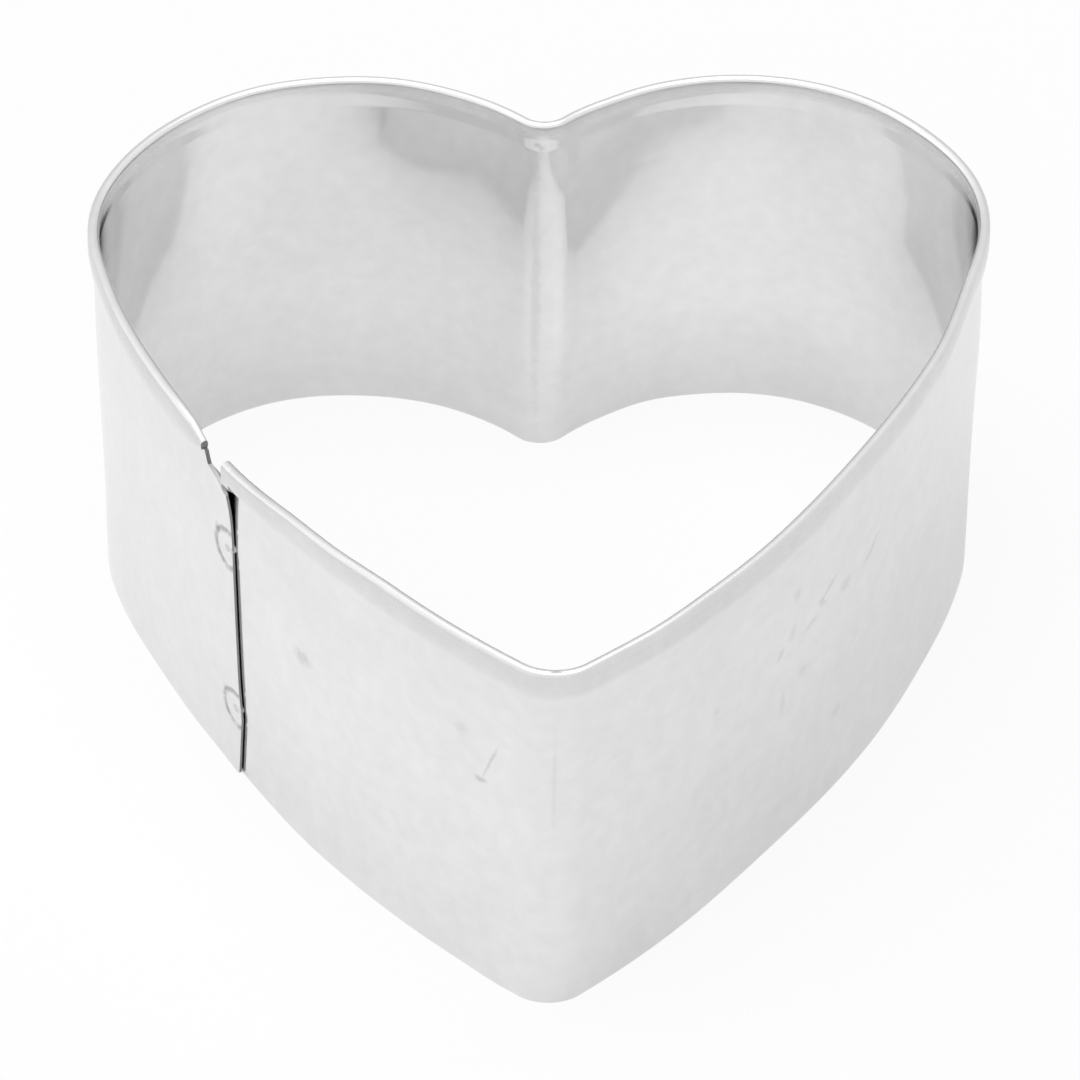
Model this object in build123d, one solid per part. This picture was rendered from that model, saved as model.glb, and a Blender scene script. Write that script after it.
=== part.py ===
from build123d import *
import os
from math import atan2, cos, degrees, radians, sin, sqrt, tan

os.makedirs("parts", exist_ok=True)

# A heart cutter bent from one strip of tinned sheet: +Z up, the cutting edge on z = 0,
# the tip towards -Y and the two lobes towards +Y. All sizes are in millimetres.

# Heart outline, at the middle of the sheet
heart_width = 54.6
heart_length = 56.9
lobe_radius = 15.1
notch_radius = 2.5
tip_radius = 2.6
side_radius = 79.0

# Strip
sheet = 0.25
strip_height = 25.4

# Folded hem along the top, outside the wall
hem_height = 1.9
hem_nose_height = 1.25
hem_crown_radius = 0.26
hem_cavity = 0.22
hem_lean = 0.11
flap_clearance = 0.03

# Lap of the two ends, with places measured along the strip from the tip
outer_end_from_tip = 26.3
outer_end_skew = 1.9
lap_length = 4.1
lap_run_on = 0.5
lap_clearance = 0.02
inner_hem_setback = 0.8
outer_hem_setback = 3.4
tab_drop = 2.3
snip_rise = 1.0
snip_run = 1.3

# Free corner of the outer tab, sprung off the wall above the upper weld
sprung_width = 2.4
sprung_height = 3.8
sprung_angle = 16.0

# Spot welds and the ring that the electrode leaves round each
weld_from_end = 0.65
lower_weld_height = 5.6
upper_weld_drop = 5.0
nugget_radius = 0.38
dimple_depth = 0.06
ring_radius = 1.35
ring_width = 0.32
ring_depth = 0.05

# One overrun serves all cuts
overrun = 2.0


def on_circle(centre, radius, angle):
    """Point of a circle at an angle in degrees."""
    return centre + Vector(radius * cos(radians(angle)), radius * sin(radians(angle)))


def bearing(start, end):
    """Angle in degrees of the line from one point to another."""
    return degrees(atan2(end.Y - start.Y, end.X - start.X))


def mirrored(point):
    """Point on the other side of the heart's middle line."""
    return Vector(-point.X, point.Y)


# Centres of the arcs that make the outline, each tangent to the next
tip_centre = Vector(0, tip_radius - heart_length / 2)
lobe_centre = Vector(heart_width / 2 - lobe_radius, heart_length / 2 - lobe_radius)
notch_rise = sqrt((lobe_radius + notch_radius) ** 2 - lobe_centre.X ** 2)
notch_centre = Vector(0, lobe_centre.Y + notch_rise)


def side_centre():
    """Centre of the right side's arc, which touches the tip arc and the lobe arc from outside them."""
    to_tip = side_radius - tip_radius
    to_lobe = side_radius - lobe_radius
    apart = (lobe_centre - tip_centre).length
    along = (to_tip ** 2 - to_lobe ** 2 + apart ** 2) / (2 * apart)
    across = sqrt(to_tip ** 2 - along ** 2)
    way = (lobe_centre - tip_centre).normalized()
    return tip_centre + way * along + Vector(-way.Y, way.X) * across


right_side = side_centre()
left_side = mirrored(right_side)
left_lobe = mirrored(lobe_centre)

# Angles at which the arcs meet, on the right half
side_from = bearing(right_side, tip_centre)
side_to = bearing(right_side, lobe_centre)
lobe_to = bearing(lobe_centre, notch_centre)
tip_arc_half = radians(side_from + 90) * tip_radius


def left_angle(from_tip):
    """Angle on the left side's arc at a distance along the strip from the tip."""
    return 180 - side_from - degrees((from_tip - tip_arc_half) / side_radius)


# Places along the strip at the lap, and the outer layer's radius there, round the left side's centre
outer_hem_end = outer_end_from_tip + outer_hem_setback
inner_hem_end = outer_end_from_tip + inner_hem_setback
inner_end = outer_end_from_tip + lap_length
lap_start = max(inner_end, outer_hem_end) + lap_run_on
outer_radius = side_radius + sheet + lap_clearance
lap_thickness = 2 * sheet + lap_clearance
tab_height = strip_height - tab_drop
weld_heights = (lower_weld_height, tab_height - upper_weld_drop)


def step_out():
    """Centre and radius of the arc that carries the outer layer from the left lobe out onto the lap."""
    outward = on_circle(Vector(0, 0), 1, left_angle(lap_start))
    seat = on_circle(left_side, outer_radius, left_angle(lap_start))
    reach = seat - left_lobe
    radius = (reach.length ** 2 - lobe_radius ** 2) / (2 * (reach.dot(outward) - lobe_radius))
    return seat - outward * radius, radius


step_centre, step_radius = step_out()
step_from = bearing(step_centre, left_lobe) % 360


def bend(profile, centre, radius, start, end):
    """The strip's section carried round an arc; a falling angle turns it the other way."""
    origin = on_circle(centre, radius, start)
    outward = on_circle(Vector(0, 0), 1, start)
    turn = end - start
    if turn < 0:
        outward = outward * -1
    section = Plane(origin=origin, x_dir=outward, z_dir=Vector(outward.Y, -outward.X)) * profile
    axis = Axis(origin=centre, direction=(0, 0, 1 if turn > 0 else -1))
    return revolve(section, axis=axis, revolution_arc=abs(turn))


def plain_section(height):
    """Section of the bare strip."""
    return Rectangle(sheet, height, align=(Align.CENTER, Align.MIN))


def hem_nose(inner_half, outer_half):
    """Section of the pressed fold: two flanks, a tight crown, and a cavity that closes to a point."""
    crown_centre = hem_nose_height - hem_crown_radius
    flank_rise = outer_half ** 2 + crown_centre ** 2 - hem_crown_radius ** 2
    flank_radius = flank_rise / (2 * (outer_half - hem_crown_radius))
    offset = flank_radius - outer_half
    lens = Pos(offset, 0) * Circle(flank_radius) & Pos(-offset, 0) * Circle(flank_radius)
    arch = lens & Rectangle(2 * outer_half, flank_radius, align=(Align.CENTER, Align.MIN))
    crown = arch.vertices().sort_by(Axis.Y)[-1]
    cavity = Polygon((-inner_half, 0), (inner_half, 0), (0, hem_nose_height - sheet), align=None)
    return fillet(crown, hem_crown_radius) - cavity


def hemmed_section():
    """Section of the strip with its top folded over outwards and pressed down."""
    nose_base = strip_height - hem_nose_height
    crease = strip_height - hem_height
    inner_half = hem_cavity / 2
    outer_half = inner_half + sheet
    middle = outer_half - sheet / 2 - hem_lean
    nose = Pos(middle, nose_base) * hem_nose(inner_half, outer_half)
    wall = Polygon(
        (-sheet / 2, 0),
        (sheet / 2, 0),
        (sheet / 2, crease),
        (middle - inner_half, nose_base),
        (middle - outer_half, nose_base),
        (-sheet / 2, crease),
        align=None,
    )
    flap_inner = sheet / 2 + flap_clearance
    flap = Polygon(
        (flap_inner, crease),
        (flap_inner + sheet, crease),
        (middle + outer_half, nose_base),
        (middle + inner_half, nose_base),
        align=None,
    )
    return wall + nose + flap


def hemmed_band():
    """The strip from the inner layer's hem, round the heart, to the outer layer's hem."""
    section = hemmed_section()
    arcs = (
        (left_side, side_radius, left_angle(inner_hem_end), 180 - side_from),
        (tip_centre, tip_radius, 180 - side_from, 360 + side_from),
        (right_side, side_radius, side_from, side_to),
        (lobe_centre, lobe_radius, side_to, lobe_to),
        (notch_centre, notch_radius, 180 + lobe_to, 360 - lobe_to),
        (left_lobe, lobe_radius, 180 - lobe_to, step_from),
        (step_centre, step_radius, step_from, left_angle(lap_start)),
        (left_side, outer_radius, left_angle(lap_start), left_angle(outer_hem_end)),
    )
    band = Part()
    for arc in arcs:
        band += bend(section, *arc)
    return band


def on_lap(from_end, height):
    """Frame on the middle of the outer layer: X along the strip to the tip, Y up, Z out of the heart."""
    angle = left_angle(outer_end_from_tip + from_end)
    outward = on_circle(Vector(0, 0), 1, angle)
    origin = on_circle(left_side, outer_radius, angle) + Vector(0, 0, height)
    return Plane(origin=origin, x_dir=Vector(-outward.Y, outward.X), z_dir=outward)


def inner_tab():
    """Bare end of the inner layer, under the outer one."""
    section = plain_section(tab_height)
    return bend(section, left_side, side_radius, left_angle(inner_end), left_angle(inner_hem_end))


def end_edge(height):
    """Place along the strip of the outer end, which is sheared a little out of square."""
    return tan(radians(outer_end_skew)) * (height - tab_height / 2)


def tab_outline():
    """Outer tab seen square on, its top snipped down from the hem."""
    snip_top = tab_height + snip_rise
    return Polygon(
        (-outer_hem_setback - overrun, -overrun),
        (end_edge(-overrun), -overrun),
        (end_edge(tab_height), tab_height),
        (snip_run - outer_hem_setback, tab_height),
        (-outer_hem_setback, snip_top),
        (-outer_hem_setback - overrun, snip_top),
        align=None,
    )


def outer_tab():
    """Bare end of the outer layer, with its free top corner folded off the wall."""
    on_wall = on_lap(0, 0)
    fold_height = tab_height - sprung_height
    fold_low = Vector(end_edge(fold_height), fold_height)
    fold_high = Vector(end_edge(tab_height) - sprung_width, tab_height)
    past = (fold_high - fold_low).normalized() * overrun
    beyond = Vector(overrun, tab_height + overrun)
    corner_outline = Polygon(fold_low - past, beyond, fold_high + past, align=None)
    hinge_low = on_wall.from_local_coords(fold_low)
    hinge_high = on_wall.from_local_coords(fold_high)
    hinge = Axis(origin=hinge_low, direction=hinge_high - hinge_low)

    section = plain_section(tab_height + snip_rise)
    stop = left_angle(outer_end_from_tip - overrun)
    tab = bend(section, left_side, outer_radius, left_angle(outer_hem_end), stop)
    tab &= extrude(on_wall * tab_outline(), amount=overrun, both=True)
    corner_block = extrude(on_wall * corner_outline, amount=overrun, both=True)
    corner = tab & corner_block
    return tab - corner_block + corner.rotate(hinge, sprung_angle)


def at_weld(height):
    """Frame of a weld, on the middle of the two layers."""
    return on_lap(weld_from_end, height).offset(-(sheet + lap_clearance) / 2)


def nugget(height):
    """Metal melted through both layers, dished on each face by the electrodes."""
    dish_radius = (nugget_radius ** 2 + dimple_depth ** 2) / (2 * dimple_depth)
    lift = lap_thickness / 2 - dimple_depth + dish_radius
    weld = Cylinder(nugget_radius, lap_thickness)
    for way in (1, -1):
        weld -= Pos(0, 0, way * lift) * Sphere(dish_radius)
    return at_weld(height) * weld


def weld_marks(height):
    """What a weld takes out of the strip: the nugget's place, and the electrode's ring on both faces."""
    face = lap_thickness / 2
    groove = Polygon(
        (ring_radius, face - ring_depth),
        (ring_radius + ring_width, face + ring_depth),
        (ring_radius - ring_width, face + ring_depth),
        align=None,
    )
    ring = revolve(Plane.XZ * groove, axis=Axis.Z)
    marks = Cylinder(nugget_radius, lap_thickness + overrun)
    return at_weld(height) * (marks + ring + mirror(ring, about=Plane.XY))


def heart_strip():
    """The whole formed strip."""
    strip = hemmed_band() + inner_tab() + outer_tab()
    for height in weld_heights:
        strip -= weld_marks(height)
    return strip


parts = {"heart_strip": heart_strip()}
for name, height in zip(("lower_spot_weld", "upper_spot_weld"), weld_heights):
    parts[name] = nugget(height)

for name, shape in parts.items():
    export_step(shape, f"parts/{name}.step")
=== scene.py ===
import math

import bmesh
import bpy
from bpy.props import FloatProperty, FloatVectorProperty, PointerProperty
from mathutils import Matrix, Vector


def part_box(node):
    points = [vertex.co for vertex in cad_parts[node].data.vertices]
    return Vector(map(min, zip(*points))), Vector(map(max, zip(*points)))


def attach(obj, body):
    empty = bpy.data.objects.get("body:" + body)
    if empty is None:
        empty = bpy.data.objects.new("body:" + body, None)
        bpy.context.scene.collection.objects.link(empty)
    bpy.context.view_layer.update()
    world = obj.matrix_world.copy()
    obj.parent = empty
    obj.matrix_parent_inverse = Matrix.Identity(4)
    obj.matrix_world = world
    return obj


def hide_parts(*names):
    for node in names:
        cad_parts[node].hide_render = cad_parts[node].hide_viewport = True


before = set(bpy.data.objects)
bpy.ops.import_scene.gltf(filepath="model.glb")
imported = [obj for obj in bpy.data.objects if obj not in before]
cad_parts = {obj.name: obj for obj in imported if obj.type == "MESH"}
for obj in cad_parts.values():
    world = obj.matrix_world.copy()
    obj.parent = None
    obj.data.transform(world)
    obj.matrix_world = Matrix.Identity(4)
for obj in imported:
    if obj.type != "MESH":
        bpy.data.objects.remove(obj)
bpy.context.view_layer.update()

bl_info = {
    "name": "Heart cutter",
    "version": (1, 0, 0),
    "blender": (4, 5, 0),
    "location": "View3D > Sidebar > Heart cutter",
    "description": "Dresses a tinplate heart cutter: its folded strip, its spot welds and a plain stage",
    "category": "Object",
}

MM = 0.001
STRIP_LOW, STRIP_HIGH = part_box("heart_strip")
STRIP_SIZE = STRIP_HIGH - STRIP_LOW

# The sheet, the gap inside its fold, how far the fold leans in over the wall, and so how far the rim
# stands out past the middle of the wall
SHEET = 0.25 * MM
HEM_CAVITY = 0.22 * MM
HEM_LEAN = 0.11 * MM
RIM_REACH = HEM_CAVITY + 1.5 * SHEET - HEM_LEAN

# Steps of the mesh: beside the welds, along the rest of the strip and up the rest of the wall
GRID = 0.1 * MM
COLUMN = 1.5 * MM
ROW = 1.2 * MM

# Places nearer than this are one place, and a count of steps may be over by this much of a step
TOUCH = 0.002 * MM
SLACK = 1e-6

# Number of small folds in the curl of the sprung corner
FOLDS = 6

# Bends flatter than these are shaded smooth, on the strip and on the welds
STRIP_CREASE = math.radians(35)
WELD_CREASE = math.radians(40)

WHITE = (1, 1, 1, 1)


def length(name, description, default):
    """A size in metres, as the sidebar shows it."""
    return FloatProperty(name=name, description=description, default=default, unit="LENGTH", precision=5)


def slant(name, description, degrees):
    """An angle, as the sidebar shows it."""
    return FloatProperty(
        name=name, description=description, default=math.radians(degrees), subtype="ANGLE")


def colour(name, description, code):
    """A colour that the sidebar shows, from its hex code."""
    return FloatVectorProperty(
        name=name, description=description, default=linear(code), subtype="COLOR", min=0.0, max=1.0)


def linear(code):
    """sRGB hex code to linear red, green and blue."""
    shares = [int(code[i:i + 2], 16) / 255 for i in (1, 3, 5)]
    return tuple(c / 12.92 if c <= 0.04045 else ((c + 0.055) / 1.055) ** 2.4 for c in shares)


class StripSizes(bpy.types.PropertyGroup):
    """Sizes of the formed strip, at the middle of its sheet."""

    heart_width: length("Heart width", "Across the two lobes", STRIP_SIZE.x - 2 * RIM_REACH)
    heart_length: length("Heart length", "From the tip to the lobes' tops", STRIP_SIZE.y - 2 * RIM_REACH)
    lobe_radius: length("Lobe radius", "Radius of the round lobes", 15.1 * MM)
    notch_radius: length("Notch radius", "Bend between the lobes", 1.9 * MM)
    tip_radius: length("Tip radius", "Bend at the heart's tip", 2.6 * MM)
    side_radius: length("Side radius", "Long curve from the tip to a lobe", 79.0 * MM)
    sheet: length("Sheet", "Thickness of the tinplate", SHEET)
    height: length("Height", "From the cutting edge to the rim", STRIP_SIZE.z)
    hem_height: length("Hem height", "How far down the folded rim reaches", 1.9 * MM)
    nose_height: length("Nose height", "Height of the rounded top of the fold", 1.25 * MM)
    crown_radius: length("Crown radius", "Outside of the fold's tightest bend", 0.34 * MM)
    flap_clearance: length("Flap clearance", "Air between the wall and the folded flap", 0.03 * MM)
    outer_end: length("Outer end", "From the tip to the outer layer's end", 26.52 * MM)
    end_skew: slant("End skew", "How far the outer end leans from upright", -0.3)
    lap_length: length("Lap length", "How far the inner layer goes on under the outer one", 4.1 * MM)
    lap_run_on: length("Lap run on", "How far the layers stay alongside past the lap", 0.5 * MM)
    lap_clearance: length("Lap clearance", "Air between the two layers", 0.02 * MM)
    inner_setback: length("Inner hem setback", "From the outer end to the inner layer's hem", 0.8 * MM)
    outer_setback: length("Outer hem setback", "From the outer end back to its layer's hem", 2.9 * MM)
    heel_height: length("Heel height", "Height below which the outer end is cut back", 5.0 * MM)
    heel_skew: slant("Heel skew", "How far the cut leans there", 10.5)
    tab_drop: length("Tab drop", "From the rim down to the top of the bare tabs", 2.3 * MM)
    snip_rise: length("Snip rise", "Height of the slanted snip beside the outer hem", 1.0 * MM)
    snip_run: length("Snip run", "Length of the slanted snip beside the outer hem", 0.45 * MM)
    corner_clip: length("Corner clip", "How far the outer tab's top falls to its corner", 0.7 * MM)
    sprung_width: length("Sprung width", "Width of the corner that stands off", 2.4 * MM)
    sprung_height: length("Sprung height", "Height of the corner that stands off", 3.8 * MM)
    sprung_angle: slant("Sprung angle", "How far the corner is curled off the wall", 17.0)
    notch_stray: length("Notch stray", "How far the notch's foot sits off the middle line", 0.35 * MM)
    notch_lean: slant("Notch lean", "How far the bend between the lobes leans from upright", 0.7)
    notch_reach: length("Notch reach", "How far along the lobes that stray fades", 9.0 * MM)
    flap_droop: length("Flap droop", "How far the inner flap's loose corner hangs down", 0.45 * MM)
    roll_over: length("Roll over", "How far from its cut the shear drew the outer end thin", 0.3 * MM)
    drawn_share: FloatProperty(
        name="Drawn share", description="Thickness left there, as a share of the sheet", default=0.6)
    wave_size: length("Wave size", "Distance over which hand-bent sheet wanders", 13.0 * MM)
    wave_depth: length("Wave depth", "How far the sheet wanders off its smooth curve", 0.07 * MM)


class WeldSizes(bpy.types.PropertyGroup):
    """Sizes of the spot welds and of the ring that the electrode leaves."""

    from_end: length("From end", "From the outer end to the middle of a weld", 0.43 * MM)
    nugget_radius: length("Nugget radius", "Radius of the melted spot", 0.38 * MM)
    dimple: length("Dimple", "Depth of the dish in a weld's face", 0.06 * MM)
    ring_radius: length("Ring radius", "Radius of the electrode's ring", 1.35 * MM)
    ring_width: length("Ring width", "Width of the pressed ring", 0.42 * MM)
    ring_depth: length("Ring depth", "Depth of the pressed ring", 0.05 * MM)


class Finish(bpy.types.PropertyGroup):
    """Colours of the surfaces."""

    tin: colour("Tin", "Bright tin plate", "#EAEAEA")
    edge: colour("Sheared edge", "Bare steel where the strip was cut", "#969696")
    weld: colour("Weld metal", "Tin melted and set again by the weld", "#D6D6D6")
    floor: colour("Floor", "Plain pale floor", "#F4F4F4")


class StageSizes(bpy.types.PropertyGroup):
    """Place and lens of the camera, and sizes of the lamps and the floor."""

    camera_from: FloatVectorProperty(
        name="Camera from", description="Where the camera stands", default=(-0.00549, -0.2332, 0.2039),
        subtype="TRANSLATION", unit="LENGTH", precision=5)
    camera_at: FloatVectorProperty(
        name="Camera at", description="The point in the middle of the picture",
        default=(-0.00021, -0.00203, 0.0127), subtype="TRANSLATION", unit="LENGTH", precision=5)
    camera_roll: slant("Camera roll", "Turn of the camera about its own line of sight", 0.55)
    focal: FloatProperty(name="Focal length", description="Millimetres on a 36 mm sensor", default=166.2)
    panel: length("Panel", "Side of each square lamp", 0.7)
    floor_side: length("Floor side", "Side of the floor, wide enough for every view", 6.0)


# The heart's outline, as arcs that touch each other

def on_circle(centre, radius, angle):
    """Point of a circle in the ground plane."""
    return centre + radius * Vector((math.cos(angle), math.sin(angle), 0.0))


def bearing(start, end):
    """Angle of the line from one point to another."""
    return math.atan2(end.y - start.y, end.x - start.x)


class Outline:
    """Arcs of the heart at the middle of the sheet, and places along the strip from the tip."""

    def __init__(self, s):
        self.s = s
        self.tip = Vector((0, s.tip_radius - s.heart_length / 2, 0))
        self.lobe = Vector((s.heart_width / 2 - s.lobe_radius, s.heart_length / 2 - s.lobe_radius, 0))
        rise = math.sqrt((s.lobe_radius + s.notch_radius) ** 2 - self.lobe.x ** 2)
        self.notch = Vector((0, self.lobe.y + rise, 0))
        self.right = self.side_centre()
        self.left = Vector((-self.right.x, self.right.y, 0))
        self.left_lobe = Vector((-self.lobe.x, self.lobe.y, 0))
        self.side_from = bearing(self.right, self.tip)
        self.side_to = bearing(self.right, self.lobe)
        self.lobe_to = bearing(self.lobe, self.notch)
        self.tip_half = (self.side_from + math.pi / 2) * s.tip_radius
        self.lap_radius = s.side_radius + s.sheet + s.lap_clearance
        self.inner_end = s.outer_end + s.lap_length
        self.inner_hem = s.outer_end + s.inner_setback
        self.outer_hem = s.outer_end + s.outer_setback
        self.lap_start = max(self.inner_end, self.outer_hem) + s.lap_run_on
        self.tab_height = s.height - s.tab_drop

    def side_centre(self):
        """Centre of the right side's arc, which holds the tip's arc and the lobe's inside it."""
        s = self.s
        to_tip = s.side_radius - s.tip_radius
        to_lobe = s.side_radius - s.lobe_radius
        way = self.lobe - self.tip
        apart = way.length
        along = (to_tip ** 2 - to_lobe ** 2 + apart ** 2) / (2 * apart)
        across = math.sqrt(to_tip ** 2 - along ** 2)
        way.normalize()
        return self.tip + along * way + across * Vector((-way.y, way.x, 0))

    def at(self, from_tip):
        """Point on the outline and the way outwards there, at a distance from the tip, left negative."""
        left = abs(from_tip)
        quarter = -math.pi / 2
        stages = (
            (self.tip, self.s.tip_radius, quarter, self.side_from),
            (self.right, self.s.side_radius, self.side_from, self.side_to),
            (self.lobe, self.s.lobe_radius, self.side_to, self.lobe_to),
            (self.notch, -self.s.notch_radius, self.lobe_to, math.pi / 2),
        )
        for centre, radius, start, end in stages:
            run = radius * (end - start)
            if left <= run:
                break
            left -= run
        angle = start + min(left, run) / radius
        outward = on_circle(Vector(), 1, angle)
        point = centre + radius * outward
        if from_tip < 0:
            outward.x, point.x = -outward.x, -point.x
        return point, outward

    def left_angle(self, from_tip):
        """Angle on the left side's arc at a distance along the strip from the tip."""
        return math.pi - self.side_from - (from_tip - self.tip_half) / self.s.side_radius

    def step_out(self):
        """Centre, radius and start of the arc that carries the outer layer from the lobe onto the lap."""
        angle = self.left_angle(self.lap_start)
        outward = on_circle(Vector(), 1, angle)
        seat = on_circle(self.left, self.lap_radius, angle)
        reach = seat - self.left_lobe
        lobe = self.s.lobe_radius
        radius = (reach.length ** 2 - lobe ** 2) / (2 * (reach.dot(outward) - lobe))
        centre = seat - radius * outward
        return centre, radius, bearing(centre, self.left_lobe) % math.tau

    def arcs(self, fine_until):
        """Centre, radius, start, end and greatest step of each arc, from the inner hem to the outer."""
        s = self.s
        step_centre, step_radius, step_from = self.step_out()
        lap_from, lap_to = self.left_angle(self.lap_start), self.left_angle(self.outer_hem)
        inner_from, fine_to = self.left_angle(self.inner_hem), self.left_angle(fine_until)
        return (
            (self.left, s.side_radius, inner_from, fine_to, GRID),
            (self.left, s.side_radius, fine_to, math.pi - self.side_from, COLUMN),
            (self.tip, s.tip_radius, math.pi - self.side_from, math.tau + self.side_from, COLUMN / 8),
            (self.right, s.side_radius, self.side_from, self.side_to, COLUMN),
            (self.lobe, s.lobe_radius, self.side_to, self.lobe_to, COLUMN / 2),
            (self.notch, s.notch_radius, math.pi + self.lobe_to, math.tau - self.lobe_to, COLUMN / 8),
            (self.left_lobe, s.lobe_radius, math.pi - self.lobe_to, step_from, COLUMN / 2),
            (step_centre, step_radius, step_from, lap_from, COLUMN),
            (self.left, self.lap_radius, lap_from, lap_to, GRID),
        )


# Where the bent strip strays from its even outline: distance along it from the tip (left is negative),
# height, how far it stands out, and how far round that place the bend fades, in millimetres
BENDS = (
    (2.0, 25.4, 0.10, 3.0),
    (6.0, 25.4, 0.22, 6.0),
    (13.0, 25.4, 0.40, 15.0),
    (46.0, 25.4, -0.50, 10.0),
    (47.0, 12.0, -0.20, 16.0),
    (56.0, 25.4, -0.12, 8.0),
    (61.0, 25.4, -0.10, 5.0),
    (69.0, 25.4, 0.14, 6.0),
    (73.0, 25.4, 0.14, 6.0),
    (82.0, 25.4, -0.14, 6.0),
    (89.0, 25.4, 0.28, 5.0),
    (-87.0, 25.4, -0.08, 3.0),
    (-79.0, 25.4, 0.22, 7.0),
    (-66.0, 25.4, -0.07, 5.0),
    (-62.0, 25.4, -0.24, 9.0),
    (-56.0, 25.4, -0.24, 12.0),
    (-47.0, 25.4, -0.14, 6.0),
    (-17.0, 25.4, 0.20, 5.0),
    (-8.0, 25.4, 0.14, 10.0),
    (18.0, 0.0, -0.30, 14.0),
    (43.0, 0.0, 0.09, 6.0),
    (66.0, 0.0, 0.28, 10.0),
    (73.0, 0.0, 0.30, 9.0),
    (80.0, 0.0, 0.15, 4.0),
    (88.4, 0.0, 0.16, 6.0),
    (-81.0, 0.0, 0.22, 7.0),
    (-70.0, 0.0, 0.30, 12.0),
    (-47.0, 0.0, 0.13, 7.0),
    (-35.0, 0.0, -0.34, 9.0),
    (-30.0, 0.0, -0.10, 5.0),
    (-27.0, 0.0, -0.26, 9.0),
    (-10.0, 0.0, 0.06, 9.0),
    (-3.0, 0.0, 0.12, 4.0),
)

# How the ends of the fold were crushed, the outer layer's and then the inner one's: the height above the
# crease that the end is squashed towards, the shares of its size that are left, how far round the end
# that fades, and how far the end droops, with lengths in millimetres
CRUSHED_ENDS = (
    (0.55, (0.5, 0.5, 0.25), 2.4, 0.0),
    (0.0, (1.0, 1.0, 0.7), 11.0, 0.55),
)


def hem_path(s):
    """Middle line of the rim above the crease, as places out from the wall and up from the floor."""
    base = s.height - s.nose_height
    outer_half = HEM_CAVITY / 2 + s.sheet
    middle = outer_half - s.sheet / 2 - HEM_LEAN
    crown_up = s.nose_height - s.crown_radius
    flank = (outer_half ** 2 + crown_up ** 2 - s.crown_radius ** 2) / (2 * (outer_half - s.crown_radius))
    offset = flank - outer_half
    meet = math.atan2(crown_up, offset)
    flank_line = flank - s.sheet / 2
    crown_line = s.crown_radius - s.sheet / 2
    path = arc_places(middle + offset, base, flank_line, spread(math.pi, math.pi - meet, 4))
    path += arc_places(middle, base + crown_up, crown_line, spread(math.pi - meet, meet, 8)[1:])
    path += arc_places(middle - offset, base, flank_line, spread(meet, 0, 4)[1:])
    top_out, top_up = path[-1]
    foot_out, foot_up = s.sheet + s.flap_clearance, s.height - s.hem_height
    path += [(top_out + (foot_out - top_out) * share, top_up + (foot_up - top_up) * share)
             for share in spread(0, 1, 5)[1:]]
    return path


def arc_places(out, up, radius, angles):
    """Places on an arc of the rim's section."""
    return [(out + radius * math.cos(angle), up + radius * math.sin(angle)) for angle in angles]


def spread(first, last, steps):
    """Evenly spaced values from the first to the last."""
    return [first + (last - first) * i / steps for i in range(steps + 1)]


def steps_over(run, step):
    """Number of steps no wider than this one that a run takes."""
    return max(1, math.ceil(run / step - SLACK))


def wall_rows(s, weld_heights, tab_height, reach):
    """Heights of the mesh's rows up the wall: close together beside the welds and the crease."""
    crease = s.height - s.hem_height
    stops = [0.0]
    for height in weld_heights:
        stops += [height - reach, height + reach]
    stops.append(tab_height)
    rows = [0.0]
    for i, (low, high) in enumerate(zip(stops, stops[1:])):
        rows += spread(low, high, steps_over(high - low, GRID if i % 2 else ROW))[1:]
    near = (crease - tab_height) / 2
    return rows + [crease - near, crease]


# Small steps of modelling by hand

def deselect():
    """Nothing is selected in object mode."""
    bpy.ops.object.select_all(action="DESELECT")


def enter(obj):
    """Edit mode on one object, with nothing selected in it."""
    deselect()
    bpy.context.view_layer.objects.active = obj
    obj.select_set(True)
    bpy.ops.object.mode_set(mode="EDIT")
    bpy.ops.mesh.select_mode(type="VERT")
    bpy.ops.mesh.select_all(action="DESELECT")


def leave():
    """Back to object mode."""
    bpy.ops.object.mode_set(mode="OBJECT")


def pick(test):
    """Selects the vertices of the mesh in edit mode whose place passes a test, with what they bound."""
    mesh = bmesh.from_edit_mesh(bpy.context.object.data)
    for part in (mesh.faces, mesh.edges, mesh.verts):
        for element in part:
            element.select = False
    for vert in mesh.verts:
        vert.select = bool(test(vert.co))
    mesh.select_flush(True)
    bmesh.update_edit_mesh(bpy.context.object.data)


def draw_line(name, start, moves):
    """Starts a piece in edit mode: a small plane merged to one vertex, set at its start and drawn on."""
    bpy.ops.mesh.primitive_plane_add(size=SHEET)
    piece = bpy.context.object
    piece.name = piece.data.name = name
    enter(piece)
    bpy.ops.mesh.select_all(action="SELECT")
    bpy.ops.mesh.merge(type="CENTER")
    bpy.ops.transform.translate(value=start)
    for move in moves:
        bpy.ops.mesh.extrude_vertices_move(TRANSFORM_OT_translate={"value": move})
    return piece


def spin_to(centre, radius, start, end, step):
    """Carries the selected line round an arc, in columns no wider than the step."""
    turn = end - start
    steps = steps_over(abs(turn) * radius, step)
    bpy.ops.mesh.spin(steps=steps, angle=-turn, center=centre, axis=(0, 0, 1), use_auto_merge=False)


def fading(reach, connected=False):
    """Settings that let a move fade out over a distance round it, or only along what is joined to it."""
    return {
        "use_proportional_edit": reach > 0,
        "use_proportional_connected": connected,
        "proportional_edit_falloff": "SMOOTH",
        "proportional_size": max(reach, GRID),
    }


def push(point, move, reach):
    """Moves the mesh near a point, less and less out to a distance round it."""
    mesh = bmesh.from_edit_mesh(bpy.context.object.data)
    nearest = min(mesh.verts, key=lambda vert: (vert.co - point).length).co.copy()
    pick(lambda co: (co - nearest).length < TOUCH)
    bpy.ops.transform.translate(value=move, **fading(reach))


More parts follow.
